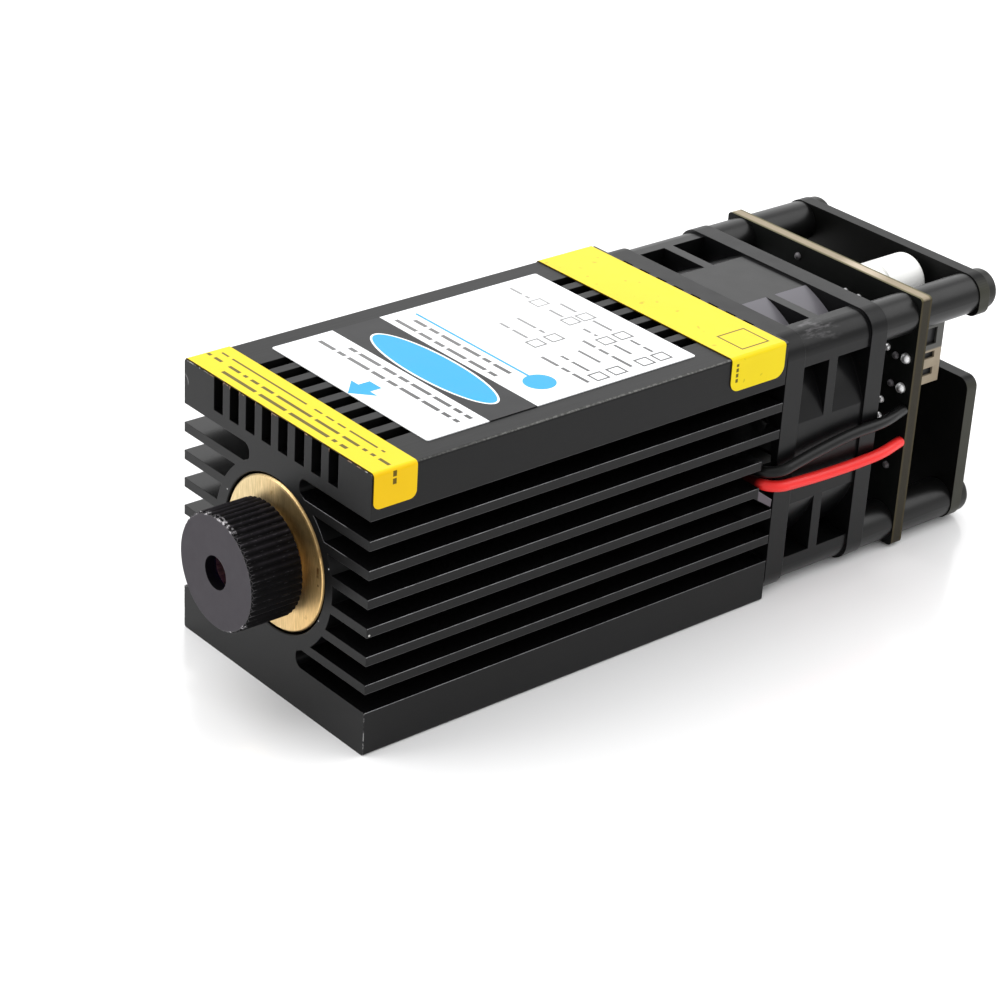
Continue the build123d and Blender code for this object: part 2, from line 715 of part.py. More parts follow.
# Long screws that clamp plate, spacers, board and fan to the heat sink
with BuildPart() as long_screws:
    with BuildSketch(front_view(BACK_REAR)):
        with STACK:
            Circle(PAN_HEAD_R)
    extrude(amount=-PAN_HEAD_H)
    head_rims = long_screws.faces().sort_by(Axis.Y)[-4:].edges()
    fillet(head_rims, radius=HEAD_ROUND_R)
    with BuildSketch(front_view(BACK_REAR + PAN_HEAD_H)):
        with STACK:
            Rectangle(CROSS_L, CROSS_W)
            Rectangle(CROSS_W, CROSS_L)
    extrude(amount=CROSS_DEPTH, mode=Mode.SUBTRACT)
    with BuildSketch(front_view(BACK_REAR)):
        with STACK:
            Circle(LONG_SCREW_R)
    extrude(amount=BACK_REAR - REAR + LONG_SCREW_BITE)
finish(long_screws.part, "long_screws")

# Smoothing capacitor standing on the back of the board
with BuildPart() as capacitor:
    cap_plane = Plane(origin=(CAP_X, BOARD_REAR, AXIS_Z + CAP_Z), x_dir=(1, 0, 0), z_dir=(0, 1, 0))
    with BuildSketch(cap_plane):
        Circle(CAP_R)
    extrude(amount=CAP_L)
    cap_rim = capacitor.faces().sort_by(Axis.Y)[-1].edges()
    fillet(cap_rim, radius=CAP_ROUND_R)
    with BuildSketch(cap_plane.offset(CAP_GROOVE_FROM_FOOT)):
        Circle(CAP_R)
        Circle(CAP_R - CAP_GROOVE_DEPTH, mode=Mode.SUBTRACT)
    extrude(amount=CAP_GROOVE_W, mode=Mode.SUBTRACT)
finish(capacitor.part, "capacitor")

# Power socket: a three-way shrouded header that faces the rear
with BuildPart() as power_socket:
    with BuildSketch(front_view(BOARD_REAR)):
        with Locations((SOCKET_X, SOCKET_Z)):
            Rectangle(SOCKET_D, SOCKET_W)
        with Locations(*pin_spots):
            Rectangle(SOCKET_PIN + 2 * FIT, SOCKET_PIN + 2 * FIT, mode=Mode.SUBTRACT)
    extrude(amount=-SOCKET_H)
    with BuildSketch(front_view(BOARD_REAR + SOCKET_FLOOR)):
        with Locations((SOCKET_X, SOCKET_Z)):
            Rectangle(SOCKET_D - 2 * SOCKET_WALL, SOCKET_W - 2 * SOCKET_WALL)
    extrude(amount=-SOCKET_H, mode=Mode.SUBTRACT)
    with BuildSketch(front_view(BOARD_REAR + SOCKET_WINDOW_FROM_BOARD)):
        for window_z, window_h in SOCKET_WINDOWS:
            with Locations((SOCKET_X + SOCKET_D / 2, SOCKET_Z + window_z)):
                Rectangle(2 * SOCKET_WINDOW_DEPTH, window_h)
    extrude(amount=-SOCKET_WINDOW_L, mode=Mode.SUBTRACT)
finish(power_socket.part, "power_socket")

with BuildPart() as socket_pins:
    with BuildSketch(front_view(BOARD_FRONT - PINS_PROUD)):
        with Locations(*pin_spots):
            Rectangle(SOCKET_PIN, SOCKET_PIN)
    extrude(amount=-PINS_LENGTH)
finish(socket_pins.part, "socket_pins")


def chip_body(x, z, size, height):
    """Moulded body lying on the back of the board."""
    with BuildPart() as body:
        with BuildSketch(front_view(BOARD_REAR)):
            with Locations((x, z)):
                Rectangle(*size)
        extrude(amount=-height)
        chamfer(body.faces().sort_by(Axis.Y)[-1].edges(), length=CHIP_CHAMFER)
    return body.part


# Coil with a round winding between a square foot and a round cap
with BuildPart() as inductor:
    with BuildSketch(front_view(BOARD_REAR)):
        with Locations((COIL_X, COIL_Z)):
            RectangleRounded(COIL_SIZE, COIL_SIZE, COIL_CORNER_R)
    extrude(amount=-COIL_FLANGE_T)
    with BuildSketch(front_view(BOARD_REAR)):
        with Locations((COIL_X, COIL_Z)):
            Circle(COIL_WINDING_R)
    extrude(amount=-COIL_H)
    with BuildSketch(front_view(BOARD_REAR + COIL_H - COIL_FLANGE_T)):
        with Locations((COIL_X, COIL_Z)):
            Circle(COIL_TOP_R)
    extrude(amount=-COIL_FLANGE_T)
finish(inductor.part, "inductor")

finish(chip_body(CHIP_X, CHIP_Z, (CHIP_W, CHIP_D), CHIP_H), "driver_chip")
finish(chip_body(RECTIFIER_X, RECTIFIER_Z, (RECTIFIER_W, RECTIFIER_D), RECTIFIER_H), "rectifier")

with BuildPart() as chip_resistors:
    with BuildSketch(front_view(BOARD_REAR)):
        with Locations(*RESISTOR_SPOTS):
            Rectangle(RESISTOR[0], RESISTOR[1])
    extrude(amount=-RESISTOR[2])
finish(chip_resistors.part, "chip_resistors")

# Domed solder joints on the front of the board
with BuildPart() as solder_joints:
    for spots, r in ((LARGE_JOINTS, LARGE_JOINT_R), (SMALL_JOINTS, SMALL_JOINT_R)):
        with Locations(front_view(BOARD_FRONT)):
            with Locations(*spots):
                Sphere(r, arc_size1=0, align=(Align.CENTER, Align.CENTER, Align.MIN))
finish(solder_joints.part, "solder_joints")


def lead_path(points):
    """Straight runs joined by tangent arcs as large as the runs allow; gives the radii too."""
    spots = [Vector(*p) for p in points]
    runs = [b - a for a, b in zip(spots, spots[1:])]
    radii = []
    for before, after in zip(runs, runs[1:]):
        half_turn = math.radians(before.get_angle(after)) / 2
        radii.append(ARC_SHARE * min(before.length, after.length) / math.tan(half_turn))
    return spots, radii


def lead(points, radius, name):
    """Round insulated lead along a route."""
    spots, radii = lead_path(points)
    with BuildPart() as wire:
        with BuildLine():
            route = FilletPolyline(*spots, radius=radii)
        with BuildSketch(Plane(origin=route @ 0, z_dir=route % 0)):
            Circle(radius)
        sweep(path=route)
    print(f"{name}: length {route.length:.1f}, radii " + " ".join(f"{r:.1f}" for r in radii))
    by_section = math.pi * radius**2 * route.length
    print(f"{name}: volume {wire.part.volume:.2f}, section times length {by_section:.2f}")
    return wire.part


# Leads from the diode, out of the rear right corner and along the fan to the board
SIDE_X = FAN_SIZE / 2 + LEAD_R + LEAD_GAP
RED_ROUTE = [
    (BORE_X + PIN_SPREAD, lead_start, BORE_HEIGHT),
    (BORE_X + PIN_SPREAD, lead_start + 5.5, BORE_HEIGHT),
    (2.3, REAR - 10.5, AXIS_Z - 0.8),
    (3.6, REAR - 5.2, AXIS_Z - 1.4),
    (7.1, REAR - 1.45, AXIS_Z - 1.6),
    (11.0, REAR - 1.4, AXIS_Z - 1.35),
    (SIDE_X + 0.32, REAR - 1.25, AXIS_Z - 1.1),
    (SIDE_X + 0.1, REAR + 5.2, AXIS_Z - 1.75),
    (SIDE_X + 0.06, REAR + 10.5, AXIS_Z - 1.95),
    (SIDE_X + 0.1, REAR + 15.9, AXIS_Z - 1.85),
    (14.5, BOARD_FRONT - LEAD_END, AXIS_Z - 2.1),
]
BLACK_ROUTE = [
    (BORE_X - PIN_SPREAD, lead_start, BORE_HEIGHT),
    (BORE_X - PIN_SPREAD, lead_start + 5.5, BORE_HEIGHT),
    (0.3, REAR - 10.0, AXIS_Z + 1.0),
    (3.2, REAR - 4.8, AXIS_Z + 0.6),
    (7.1, REAR - 1.4, AXIS_Z + 0.15),
    (11.0, REAR - 1.45, AXIS_Z + 0.1),
    (SIDE_X + 0.32, REAR - 1.2, AXIS_Z + 0.35),
    (SIDE_X + 0.1, REAR + 5.4, AXIS_Z + 1.35),
    (SIDE_X + 0.06, REAR + 10.6, AXIS_Z + 2.0),
    (SIDE_X + 0.1, REAR + 15.9, AXIS_Z + 2.0),
    (14.4, BOARD_FRONT - LEAD_END, AXIS_Z + 1.75),
]
finish(lead(RED_ROUTE, LEAD_R, "red_lead"), "red_lead")
finish(lead(BLACK_ROUTE, LEAD_R, "black_lead"), "black_lead")

# The fan's pair, from its board through the motor seat to the driver board
FAN_LEAD_ROUTES = [
    [
        (x, seat_front, AXIS_Z + FAN_LEAD_Z),
        (x, FAN_REAR + 1.0, AXIS_Z + FAN_LEAD_Z),
        (x - 1.2, BOARD_FRONT - 1.2, AXIS_Z + FAN_LEAD_Z - 1.4),
        (x - 1.2, BOARD_FRONT, AXIS_Z + FAN_LEAD_Z - 1.4),
    ]
    for x in FAN_LEAD_XS
]
with BuildPart() as fan_leads:
    for k, points in enumerate(FAN_LEAD_ROUTES):
        add(lead(points, FAN_LEAD_R, f"fan_lead_{k}"))
finish(fan_leads.part, "fan_leads")
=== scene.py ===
import math

import bpy
import numpy as np
from mathutils import Euler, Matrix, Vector


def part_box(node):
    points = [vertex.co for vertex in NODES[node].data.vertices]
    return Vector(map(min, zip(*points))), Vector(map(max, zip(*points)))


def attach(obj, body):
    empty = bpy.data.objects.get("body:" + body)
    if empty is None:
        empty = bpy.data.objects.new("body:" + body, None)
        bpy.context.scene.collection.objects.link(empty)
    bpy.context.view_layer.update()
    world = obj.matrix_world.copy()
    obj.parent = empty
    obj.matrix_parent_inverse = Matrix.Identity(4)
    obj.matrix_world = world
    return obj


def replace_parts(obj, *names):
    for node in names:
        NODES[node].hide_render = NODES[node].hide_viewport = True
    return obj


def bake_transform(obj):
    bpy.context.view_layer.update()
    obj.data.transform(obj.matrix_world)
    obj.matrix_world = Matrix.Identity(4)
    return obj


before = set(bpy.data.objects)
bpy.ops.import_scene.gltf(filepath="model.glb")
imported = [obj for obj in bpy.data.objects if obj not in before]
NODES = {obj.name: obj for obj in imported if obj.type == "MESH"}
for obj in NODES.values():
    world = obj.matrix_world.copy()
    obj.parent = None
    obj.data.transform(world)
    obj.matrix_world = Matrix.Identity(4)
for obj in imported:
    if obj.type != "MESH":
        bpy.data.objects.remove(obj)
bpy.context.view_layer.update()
SCENE = bpy.context.scene

# Main places of the part in millimetres, and the factor that turns them into metres
MM = 0.001
FRONT_Y = -26.95
REAR_Y = 26.95
BOARD_Y = 47.35
AXIS_Z = 15.25
BORE_X = 0.2
BORE_Z = 15.55
TOP_Z = 30.5

# Turn of the normal, as 1 minus its cosine, where an edge begins to show and where it shows fully
EDGE_TURN = (0.01, 0.1)
# Rays that find the edges, where they are a mask and where they soften the shading
MASK_RAYS = 8
SHADING_RAYS = 6
# Difference between the roughest and the smoothest places of one uneven finish
ROUGH_SPREAD = 0.12


class Net:
    """Shader nodes of one material, built by small steps. Places and widths are in millimetres."""

    def __init__(self, name, metal=0.0):
        """Starts from the shader that a new material has, with object coordinates and their parts."""
        self.material = bpy.data.materials.new(name)
        self.material.use_nodes = True
        self.tree = self.material.node_tree
        self.shader = self.tree.nodes["Principled BSDF"]
        self.coord = self.tree.nodes.new("ShaderNodeTexCoord").outputs["Object"]
        self.split = self.node("ShaderNodeSeparateXYZ", Vector=self.coord)
        self.set(Metallic=metal)

    def node(self, kind, **sockets):
        """New node with its inputs filled, by their names or by their numbers as _0, _1 and _2."""
        made = self.tree.nodes.new(kind)
        self.fill(made, sockets)
        return made

    def fill(self, made, sockets):
        """Links an input to another node's output, or sets it to a plain value."""
        for key, value in sockets.items():
            place = int(key[1:]) if key[0] == "_" else key
            socket = made.inputs[place]
            if isinstance(value, bpy.types.NodeSocket):
                self.tree.links.new(value, socket)
            else:
                socket.default_value = value

    def set(self, **sockets):
        """Fills inputs of the material's own shader."""
        self.fill(self.shader, sockets)

    def finish(self, colour, rough, gloss=0.5):
        """Gives the shader its colour, roughness and gloss, and returns the material."""
        self.set(**{"Base Color": colour, "Roughness": rough, "Specular IOR Level": gloss})
        return self.material

    def axis(self, letter):
        """Object coordinate along x, y or z in millimetres."""
        return self.calc("MULTIPLY", self.split.outputs["XYZ".index(letter.upper())], 1000.0)

    def xyz(self):
        """All three object coordinates in millimetres."""
        return [self.axis(letter) for letter in "xyz"]

    def calc(self, operation, a, b=0.0, c=0.0, clamp=False):
        """Result of one operation on up to three values."""
        made = self.node("ShaderNodeMath", _0=a, _1=b, _2=c)
        made.operation = operation
        made.use_clamp = clamp
        return made.outputs[0]

    def ramp(self, value, low, high, out_low=0.0, out_high=1.0):
        """Straight slope from out_low at low to out_high at high, and level beyond them."""
        made = self.node("ShaderNodeMapRange", _0=value, _1=low, _2=high, _3=out_low, _4=out_high)
        made.clamp = True
        return made.outputs[0]

    def band(self, value, low, high, soft=0.02):
        """1 where low < value < high, with soft sides."""
        up = self.ramp(value, low - soft, low + soft)
        down = self.ramp(value, high - soft, high + soft)
        return self.calc("SUBTRACT", up, down, clamp=True)

    def product(self, *values):
        """All the values multiplied."""
        total = values[0]
        for value in values[1:]:
            total = self.calc("MULTIPLY", total, value)
        return total

    def largest(self, *values):
        """The largest of the values at each point."""
        total = values[0]
        for value in values[1:]:
            total = self.calc("MAXIMUM", total, value)
        return total

    def distance(self, a, a0, b, b0):
        """Distance in the plane of two coordinates from a point."""
        da = self.calc("SUBTRACT", a, a0)
        db = self.calc("SUBTRACT", b, b0)
        return self.calc("SQRT", self.calc("ADD", self.product(da, da), self.product(db, db)))

    def stretched(self, scale):
        """Object coordinates with a scale of their own along each axis."""
        return self.node("ShaderNodeMapping", Vector=self.coord, Scale=scale).outputs[0]

    def noise(self, scale, detail=3.0, rough=0.5, vector=None):
        """Cloudy noise from 0 to 1 on the object's coordinates, or on stretched ones."""
        made = self.node(
            "ShaderNodeTexNoise",
            Vector=vector or self.coord,
            Scale=scale,
            Detail=detail,
            Roughness=rough,
        )
        return made.outputs[0]

    def streaks(self, scale, detail=3.0, rough=0.6):
        """Noise drawn out along the axes where the scale is small."""
        return self.noise(1.0, detail, rough, self.stretched(scale))

    def uneven(self, cloud, rough):
        """Roughness that varies with a cloud about its middle value."""
        return self.calc("MULTIPLY_ADD", cloud, ROUGH_SPREAD, rough - ROUGH_SPREAD / 2)

    def mix(self, factor, a, b):
        """Colour that goes from a to b with the factor. Each is a colour or a node's output."""
        made = self.tree.nodes.new("ShaderNodeMix")
        made.data_type = "RGBA"
        a, b = ((*value, 1.0) if isinstance(value, tuple) else value for value in (a, b))
        self.fill(made, {"_0": factor, "_6": a, "_7": b})
        return made.outputs[2]

    def normal(self):
        """True normal, whole and in its three parts."""
        whole = self.node("ShaderNodeNewGeometry").outputs["True Normal"]
        return whole, self.node("ShaderNodeSeparateXYZ", Vector=whole).outputs

    def bevel(self, width, rays):
        """Normal as it would be with the edges rounded to a width."""
        made = self.node("ShaderNodeBevel", Radius=width * MM)
        made.samples = rays
        return made.outputs[0]

    def edges(self, width):
        """1 on sharp edges, from the turn of the normal over a small width, and its lean upwards."""
        rounded = self.bevel(width, MASK_RAYS)
        flat, parts = self.normal()
        dot = self.node("ShaderNodeVectorMath", _0=rounded, _1=flat)
        dot.operation = "DOT_PRODUCT"
        turned = self.calc("SUBTRACT", 1.0, dot.outputs["Value"])
        height = self.node("ShaderNodeSeparateXYZ", Vector=rounded).outputs[2]
        return self.ramp(turned, *EDGE_TURN), self.calc("SUBTRACT", height, parts[2])

    def bump(self, height, strength, depth, **sockets):
        """Normal with a relief: its height from 0 to 1, its strength and its full depth."""
        made = self.node("ShaderNodeBump", Strength=strength, Distance=depth * MM, Height=height, **sockets)
        return made.outputs[0]

    def round_edges(self, width, height=None, strength=0.1, depth=0.02):
        """Softens sharp edges in the shading, with an optional relief on top."""
        normal = self.bevel(width, SHADING_RAYS)
        if height is not None:
            normal = self.bump(height, strength, depth, Normal=normal)
        self.set(Normal=normal)


# Heat sink: the soft step in x where its sides begin, a chip on one fin's front tip as (y, z), pale
# spots on its front face as (x, z), and the centre of a curved scratch there
SIDE = (14.9, 15.0)
TIP = (FRONT_Y + 0.3, 13.4)
SPOTS = ((9.07, 17.86), (7.66, 11.5), (-7.75, 19.24))
SCRATCH = (-15.45, 28.1)


def black_anodised():
    """Black coat, pale along upper outer edges from wear and painted highlight, chipped at the front corners.
    """
    net = Net("black_anodised")
    x, y, z = net.xyz()
    parts = net.normal()[1]
    outside = net.ramp(net.calc("ABSOLUTE", x), *SIDE)
    facing = net.ramp(net.calc("MULTIPLY", parts[1], -1.0), 0.5, 0.8)
    tone = net.mix(net.noise(60.0, 4.0, 0.6), (0.0018, 0.0018, 0.002), (0.0032, 0.0032, 0.0034))
    # the bent corner of one fin at the rear right is painted a lighter purple grey
    bent = net.product(net.ramp(y, REAR_Y - 2.3, REAR_Y - 2.15), net.band(z, AXIS_Z - 4.0, AXIS_Z - 1.2))
    tone = net.mix(net.product(bent, net.ramp(x, 13.4, 13.6)), tone, (0.1, 0.085, 0.1))
    # partly wear and partly painted highlight: thin broken pale lines along the edges of the right side,
    # mostly the upward ones and half as strong at the rear, and along the upper edges of some fins in front
    edge, lean = net.edges(0.16)
    upper = net.ramp(lean, 0.02, 0.12)
    lower = net.calc("MULTIPLY", net.ramp(lean, -0.02, -0.12), 0.12)
    right = net.product(net.ramp(parts[0], 0.5, 0.8), net.ramp(x, 14.8, 14.9))
    line = net.product(right, net.largest(upper, lower), net.ramp(y, FRONT_Y, REAR_Y, 1.0, 0.5))
    fins = net.product(facing, upper, net.band(x, 4.4, 11.6, 0.3), net.band(z, 19.9, 23.7), 0.6)
    broken = net.ramp(net.streaks((300.0, 700.0, 300.0)), 0.35, 0.6, 0.45, 1.0)
    tone = net.mix(net.product(edge, broken, net.largest(line, fins)), tone, (0.45, 0.45, 0.47))
    # painted highlight in dots: the round long edges of the top are grey where they slope towards the light,
    # and paler from 20 mm behind the front
    rounded = net.product(net.band(parts[2], 0.6, 0.97, 0.05), outside, net.ramp(z, 30.1, 30.2))
    rounded = net.product(rounded, net.ramp(y, FRONT_Y + 8.0, FRONT_Y + 20.0, 0.4, 0.75))
    silver = net.ramp(net.noise(2500.0, 3.0, 0.7), 0.45, 0.6, 0.35, 1.0)
    tone = net.mix(net.product(rounded, silver), tone, (0.19, 0.19, 0.18))
    # chips in the coat on the vertical corners of the base
    grit = net.noise(1500.0, 4.0, 0.7)
    front = net.ramp(y, FRONT_Y + 0.35, FRONT_Y + 0.25)
    foot = net.product(edge, front, outside, net.ramp(z, 4.9, 4.8))
    tone = net.mix(net.product(foot, net.ramp(grit, 0.46, 0.54)), tone, (0.42, 0.42, 0.42))
    # chips on one fin's tip and on the front top edge, brown away from the ends of that edge
    tip = net.product(net.ramp(net.distance(y, TIP[0], z, TIP[1]), 0.14, 0.09), net.ramp(x, *SIDE))
    chips = net.product(edge, front, net.ramp(z, TOP_Z - 0.35, TOP_Z - 0.25), net.ramp(grit, 0.5, 0.57))
    chips = net.product(chips, net.ramp(net.noise(260.0, 2.0, 0.5), 0.36, 0.46))
    bare = net.mix(net.band(x, -11.2, 14.0, 0.3), (0.55, 0.54, 0.52), (0.36, 0.22, 0.14))
    tone = net.mix(net.largest(tip, chips), tone, bare)
    # small curved scratch at the upper left of the front face
    arc = net.band(net.distance(x, SCRATCH[0], z, SCRATCH[1]), 0.8, 0.88, 0.03)
    arc = net.product(arc, net.ramp(y, FRONT_Y + 0.3, FRONT_Y + 0.1), net.band(z, 28.0, 29.0, 0.2), 0.6)
    tone = net.mix(arc, tone, (0.4, 0.4, 0.4))
    for spot_x, spot_z in SPOTS:
        dot = net.ramp(net.distance(x, spot_x, z, spot_z), 0.1, 0.06)
        tone = net.mix(net.product(dot, facing), tone, (0.5, 0.5, 0.5))
    # the fins' upper faces are smoother than the outside
    grain = net.streaks((9000.0, 250.0, 9000.0), 2.0, 0.5)
    inner = net.product(net.ramp(parts[2], 0.7, 0.9), net.ramp(z, 29.9, 29.8), 0.2)
    rough = net.calc("SUBTRACT", net.calc("MULTIPLY_ADD", grain, 0.1, 0.36), inner)
    net.round_edges(0.08, grain)
    return net.finish(tone, rough, 0.2)


def plain(name, colour, rough, metal=0.0, spread=0.25, scale=400.0, round_width=0.0, gloss=0.5):
    """Colour and roughness that vary a little, with edges softened over a width."""
    net = Net(name, metal)
    cloud = net.noise(scale, 3.0, 0.55)
    dark = tuple(c * (1 - spread) for c in colour)
    light = tuple(min(1.0, c * (1 + spread)) for c in colour)
    if round_width:
        net.round_edges(round_width)
    return net.finish(net.mix(cloud, dark, light), net.uneven(cloud, rough), gloss)


# Outer radius of the fan's duct
DUCT_R = 15.5


def fan_plastic():
    """Black moulded plastic, with a painted highlight on the duct in the upper right windows, and a scuff on
    the post there.
    """
    net = Net("fan_plastic")
    x, y, z = net.xyz()
    parts = net.normal()[1]
    cloud = net.noise(400.0, 3.0, 0.55)
    tone = net.mix(cloud, (0.0024, 0.0024, 0.0026), (0.0038, 0.0038, 0.0042))
    # painted highlight: the duct's curve seen through the upper right windows is pale grey
    duct = net.band(net.distance(x, 0.0, z, AXIS_Z), DUCT_R - 0.2, DUCT_R + 0.2)
    windows = net.product(net.band(x, 3.0, 10.5, 1.0), net.ramp(z, 24.0, 26.0), net.ramp(parts[0], 0.1, 0.2))
    tone = net.mix(net.product(duct, windows), tone, (0.15, 0.145, 0.16))
    post = net.product(net.band(y, 31.0, 35.4, 0.8), net.band(x, 11.6, 14.2, 0.5), net.ramp(z, 28.0, 28.6))
    scuff = net.product(post, net.ramp(net.streaks((1600.0, 500.0, 1600.0)), 0.5, 0.68), 0.38)
    tone = net.mix(scuff, tone, (0.22, 0.21, 0.22))
    # the flanges are a little rougher on top
    flanges = net.largest(net.ramp(y, 30.1, 29.9), net.ramp(y, 39.8, 40.0))
    flanges = net.product(flanges, net.ramp(parts[2], 0.5, 0.8))
    rough = net.calc("MULTIPLY_ADD", flanges, 0.1, net.uneven(cloud, 0.31))
    net.round_edges(0.05, cloud, 0.15)
    return net.finish(tone, rough, 0.19)


def brushed_brass():
    """Straight brushing on the ring, with painted shade: more golden at its right, darker under the knob and
    on the right rim, and dark behind its face.
    """
    net = Net("brass", metal=1.0)
    x, y, z = net.xyz()
    radius = net.distance(x, BORE_X, z, BORE_Z)
    lines = net.streaks((16000.0, 900.0, 700.0))
    brushing = net.ramp(lines, 0.3, 0.7)
    cloud = net.noise(500.0, 4.0, 0.6)
    # painted light and shade: a lit pale copy of the brass on the left turns into a shaded golden copy on the
    # right
    lit_brass = net.mix(brushing, (0.46, 0.36, 0.18), (0.82, 0.65, 0.38))
    shaded_golden = net.mix(brushing, (0.6, 0.39, 0.15), (0.95, 0.66, 0.3))
    tone = net.mix(net.ramp(x, -4.0, 6.5), lit_brass, shaded_golden)
    tone = net.mix(net.ramp(cloud, 0.62, 0.75), tone, (0.42, 0.24, 0.08))
    # painted shadow of the knob: darker from the middle to the upper right, short of the rim
    darkened = net.product(net.ramp(x, 0.2, 1.6), net.ramp(z, 17.2, 19.4), net.ramp(radius, 7.75, 7.5), 0.55)
    tone = net.mix(darkened, tone, (0.04, 0.03, 0.015))
    # painted shade: the rim is dark at the right, and widest at the upper right
    wide = net.product(net.ramp(radius, 7.8, 7.95), net.ramp(z, 18.0, 18.5))
    wide = net.product(wide, net.ramp(z, 22.5, 20.3, 0.35, 0.8))
    narrow = net.calc("MULTIPLY", net.ramp(radius, 7.92, 7.97), 0.75)
    rim = net.product(net.largest(wide, narrow), net.ramp(x, 2.0, 4.0))
    tone = net.mix(rim, tone, (0.09, 0.06, 0.03))
    # two small brown stains near the rim at the right
    long_stain = net.product(net.band(x, 7.2, 7.55, 0.06), net.band(z, 16.1, 17.2, 0.08))
    round_stain = net.ramp(net.distance(x, 7.45, z, 15.3), 0.16, 0.1)
    stains = net.product(net.largest(long_stain, round_stain), net.ramp(cloud, 0.4, 0.5, 0.5, 0.9))
    tone = net.mix(stains, tone, (0.24, 0.1, 0.02))
    # painted shade: the brass behind the front face, inside the bore, is nearly black
    tone = net.mix(net.ramp(y, FRONT_Y + 0.2, FRONT_Y + 0.3), tone, (0.03, 0.02, 0.01))
    net.round_edges(0.1, lines, 0.4, 0.012)
    return net.finish(tone, net.calc("MULTIPLY_ADD", cloud, 0.16, 0.36))


# Stretches of the knob's rim with bright flecks, in degrees from +X towards +Z, and bare metal there
FLECKED = ((64.0, 92.0), (104.0, 110.0), (120.0, 130.0), (290.0, 298.0), (314.0, 322.0))
PALE_METAL = (0.55, 0.53, 0.55)


def knob_black():
    """Satin black with painted light, lighter on its face than on its side, with bright flecks on parts of
    the front rim.
    """
    net = Net("knob")
    x, y, z = net.xyz()
    radius = net.distance(x, BORE_X, z, BORE_Z)
    cloud = net.noise(900.0, 3.0, 0.6)
    # painted light and shade: a near black copy for the side and a lit grey copy for the face
    side = net.mix(cloud, (0.0008, 0.0007, 0.0009), (0.0022, 0.0018, 0.0024))
    front = net.mix(cloud, (0.043, 0.039, 0.045), (0.057, 0.052, 0.059))
    # painted highlight: the knurl's crests are greyer in the upper half
    crest = net.product(net.ramp(radius, 6.0, 6.08), net.ramp(z, 16.5, 20.5, 0.1, 0.9))
    crest = net.product(crest, net.ramp(cloud, 0.35, 0.6, 0.4, 0.9))
    side = net.mix(crest, side, (0.022, 0.019, 0.023))
    face = net.ramp(net.calc("MULTIPLY", net.normal()[1][1], -1.0), 0.8, 0.95)
    # bare metal: flecks on the rim and grains on the knurl's edges, where the black is worn; and a faint pale
    # line round the front edge
    angle = net.calc("ARCTAN2", net.calc("SUBTRACT", BORE_Z, z), net.calc("SUBTRACT", BORE_X, x))
    angle = net.calc("MULTIPLY_ADD", angle, 180.0 / math.pi, 180.0)
    worn = net.largest(*[net.band(angle, low, high, 1.5) for low, high in FLECKED])
    rim = net.product(net.ramp(radius, 5.8, 5.9), net.ramp(y, -33.2, -33.4))
    edge = net.edges(0.08)[0]
    flecks = net.product(rim, worn, net.ramp(net.noise(3200.0, 4.0, 0.7), 0.5, 0.62))
    grains = net.product(edge, net.ramp(net.noise(1500.0, 4.0, 0.7), 0.52, 0.66), 0.2)
    line = net.product(rim, edge, 0.28)
    tone = net.mix(net.largest(flecks, grains, line), net.mix(face, side, front), PALE_METAL)
    net.round_edges(0.05, net.noise(2200.0, 3.0, 0.6), 0.12, 0.01)
    return net.finish(tone, 0.55, 0.09)


def board_black():
    """Black coated faces, and a sawn edge edged with coating, with painted light: tan on top and dark at the
    sides.
    """
    net = Net("board")
    x, y = net.axis("x"), net.axis("y")
    parts = net.normal()[1]
    # painted light and shade: the sawn edge has a lit tan copy on its upward faces, brighter between x 3 and
    # 8, and a dark copy at the sides, and so has the coating along it
    upwards = net.ramp(parts[2], 0.3, 0.8)
    grain = net.streaks((1500.0, 9000.0, 1500.0))
    side = net.mix(grain, (0.018, 0.015, 0.009), (0.035, 0.03, 0.02))
    upper = net.mix(grain, (0.24, 0.195, 0.13), (0.36, 0.3, 0.215))
    bright = net.mix(grain, (0.4, 0.33, 0.24), (0.56, 0.48, 0.37))
    upper = net.mix(net.band(x, 3.0, 8.0, 1.2), upper, bright)
    sawn = net.mix(upwards, side, upper)
    coating = net.calc("SUBTRACT", 1.0, net.band(y, BOARD_Y + 0.3, BOARD_Y + 1.35, 0.1))
    sawn = net.mix(coating, sawn, net.mix(upwards, (0.045, 0.036, 0.016), (0.1, 0.09, 0.04)))
    black = net.mix(net.noise(500.0), (0.0025, 0.003, 0.0028), (0.006, 0.0065, 0.006))
    face = net.ramp(net.calc("ABSOLUTE", parts[1]), 0.5, 0.7)
    return net.finish(net.mix(face, sawn, black), 0.5, 0.12)


# Level on the socket where tan plastic turns dark under a painted shadow
SOCKET_MIDDLE = AXIS_Z + 6.6


def socket_plastic():
    """Dull tan plastic with a painted shadow on its upper half and painted shade in its windows."""
    net = Net("socket")
    cloud = net.noise(800.0)
    tan = net.mix(cloud, (0.25, 0.2, 0.14), (0.36, 0.3, 0.21))
    dark = net.mix(cloud, (0.05, 0.05, 0.045), (0.08, 0.08, 0.07))
    height = net.calc("SUBTRACT", net.axis("z"), SOCKET_MIDDLE)
    # painted shadow over the upper half
    tone = net.mix(net.ramp(height, -0.1, 0.1), tan, dark)
    # painted shade: the insides seen through the windows are near black
    windows = net.ramp(net.axis("x"), 12.0, 11.9)
    net.round_edges(0.06)
    return net.finish(net.mix(windows, tone, (0.006, 0.006, 0.006)), 0.5)


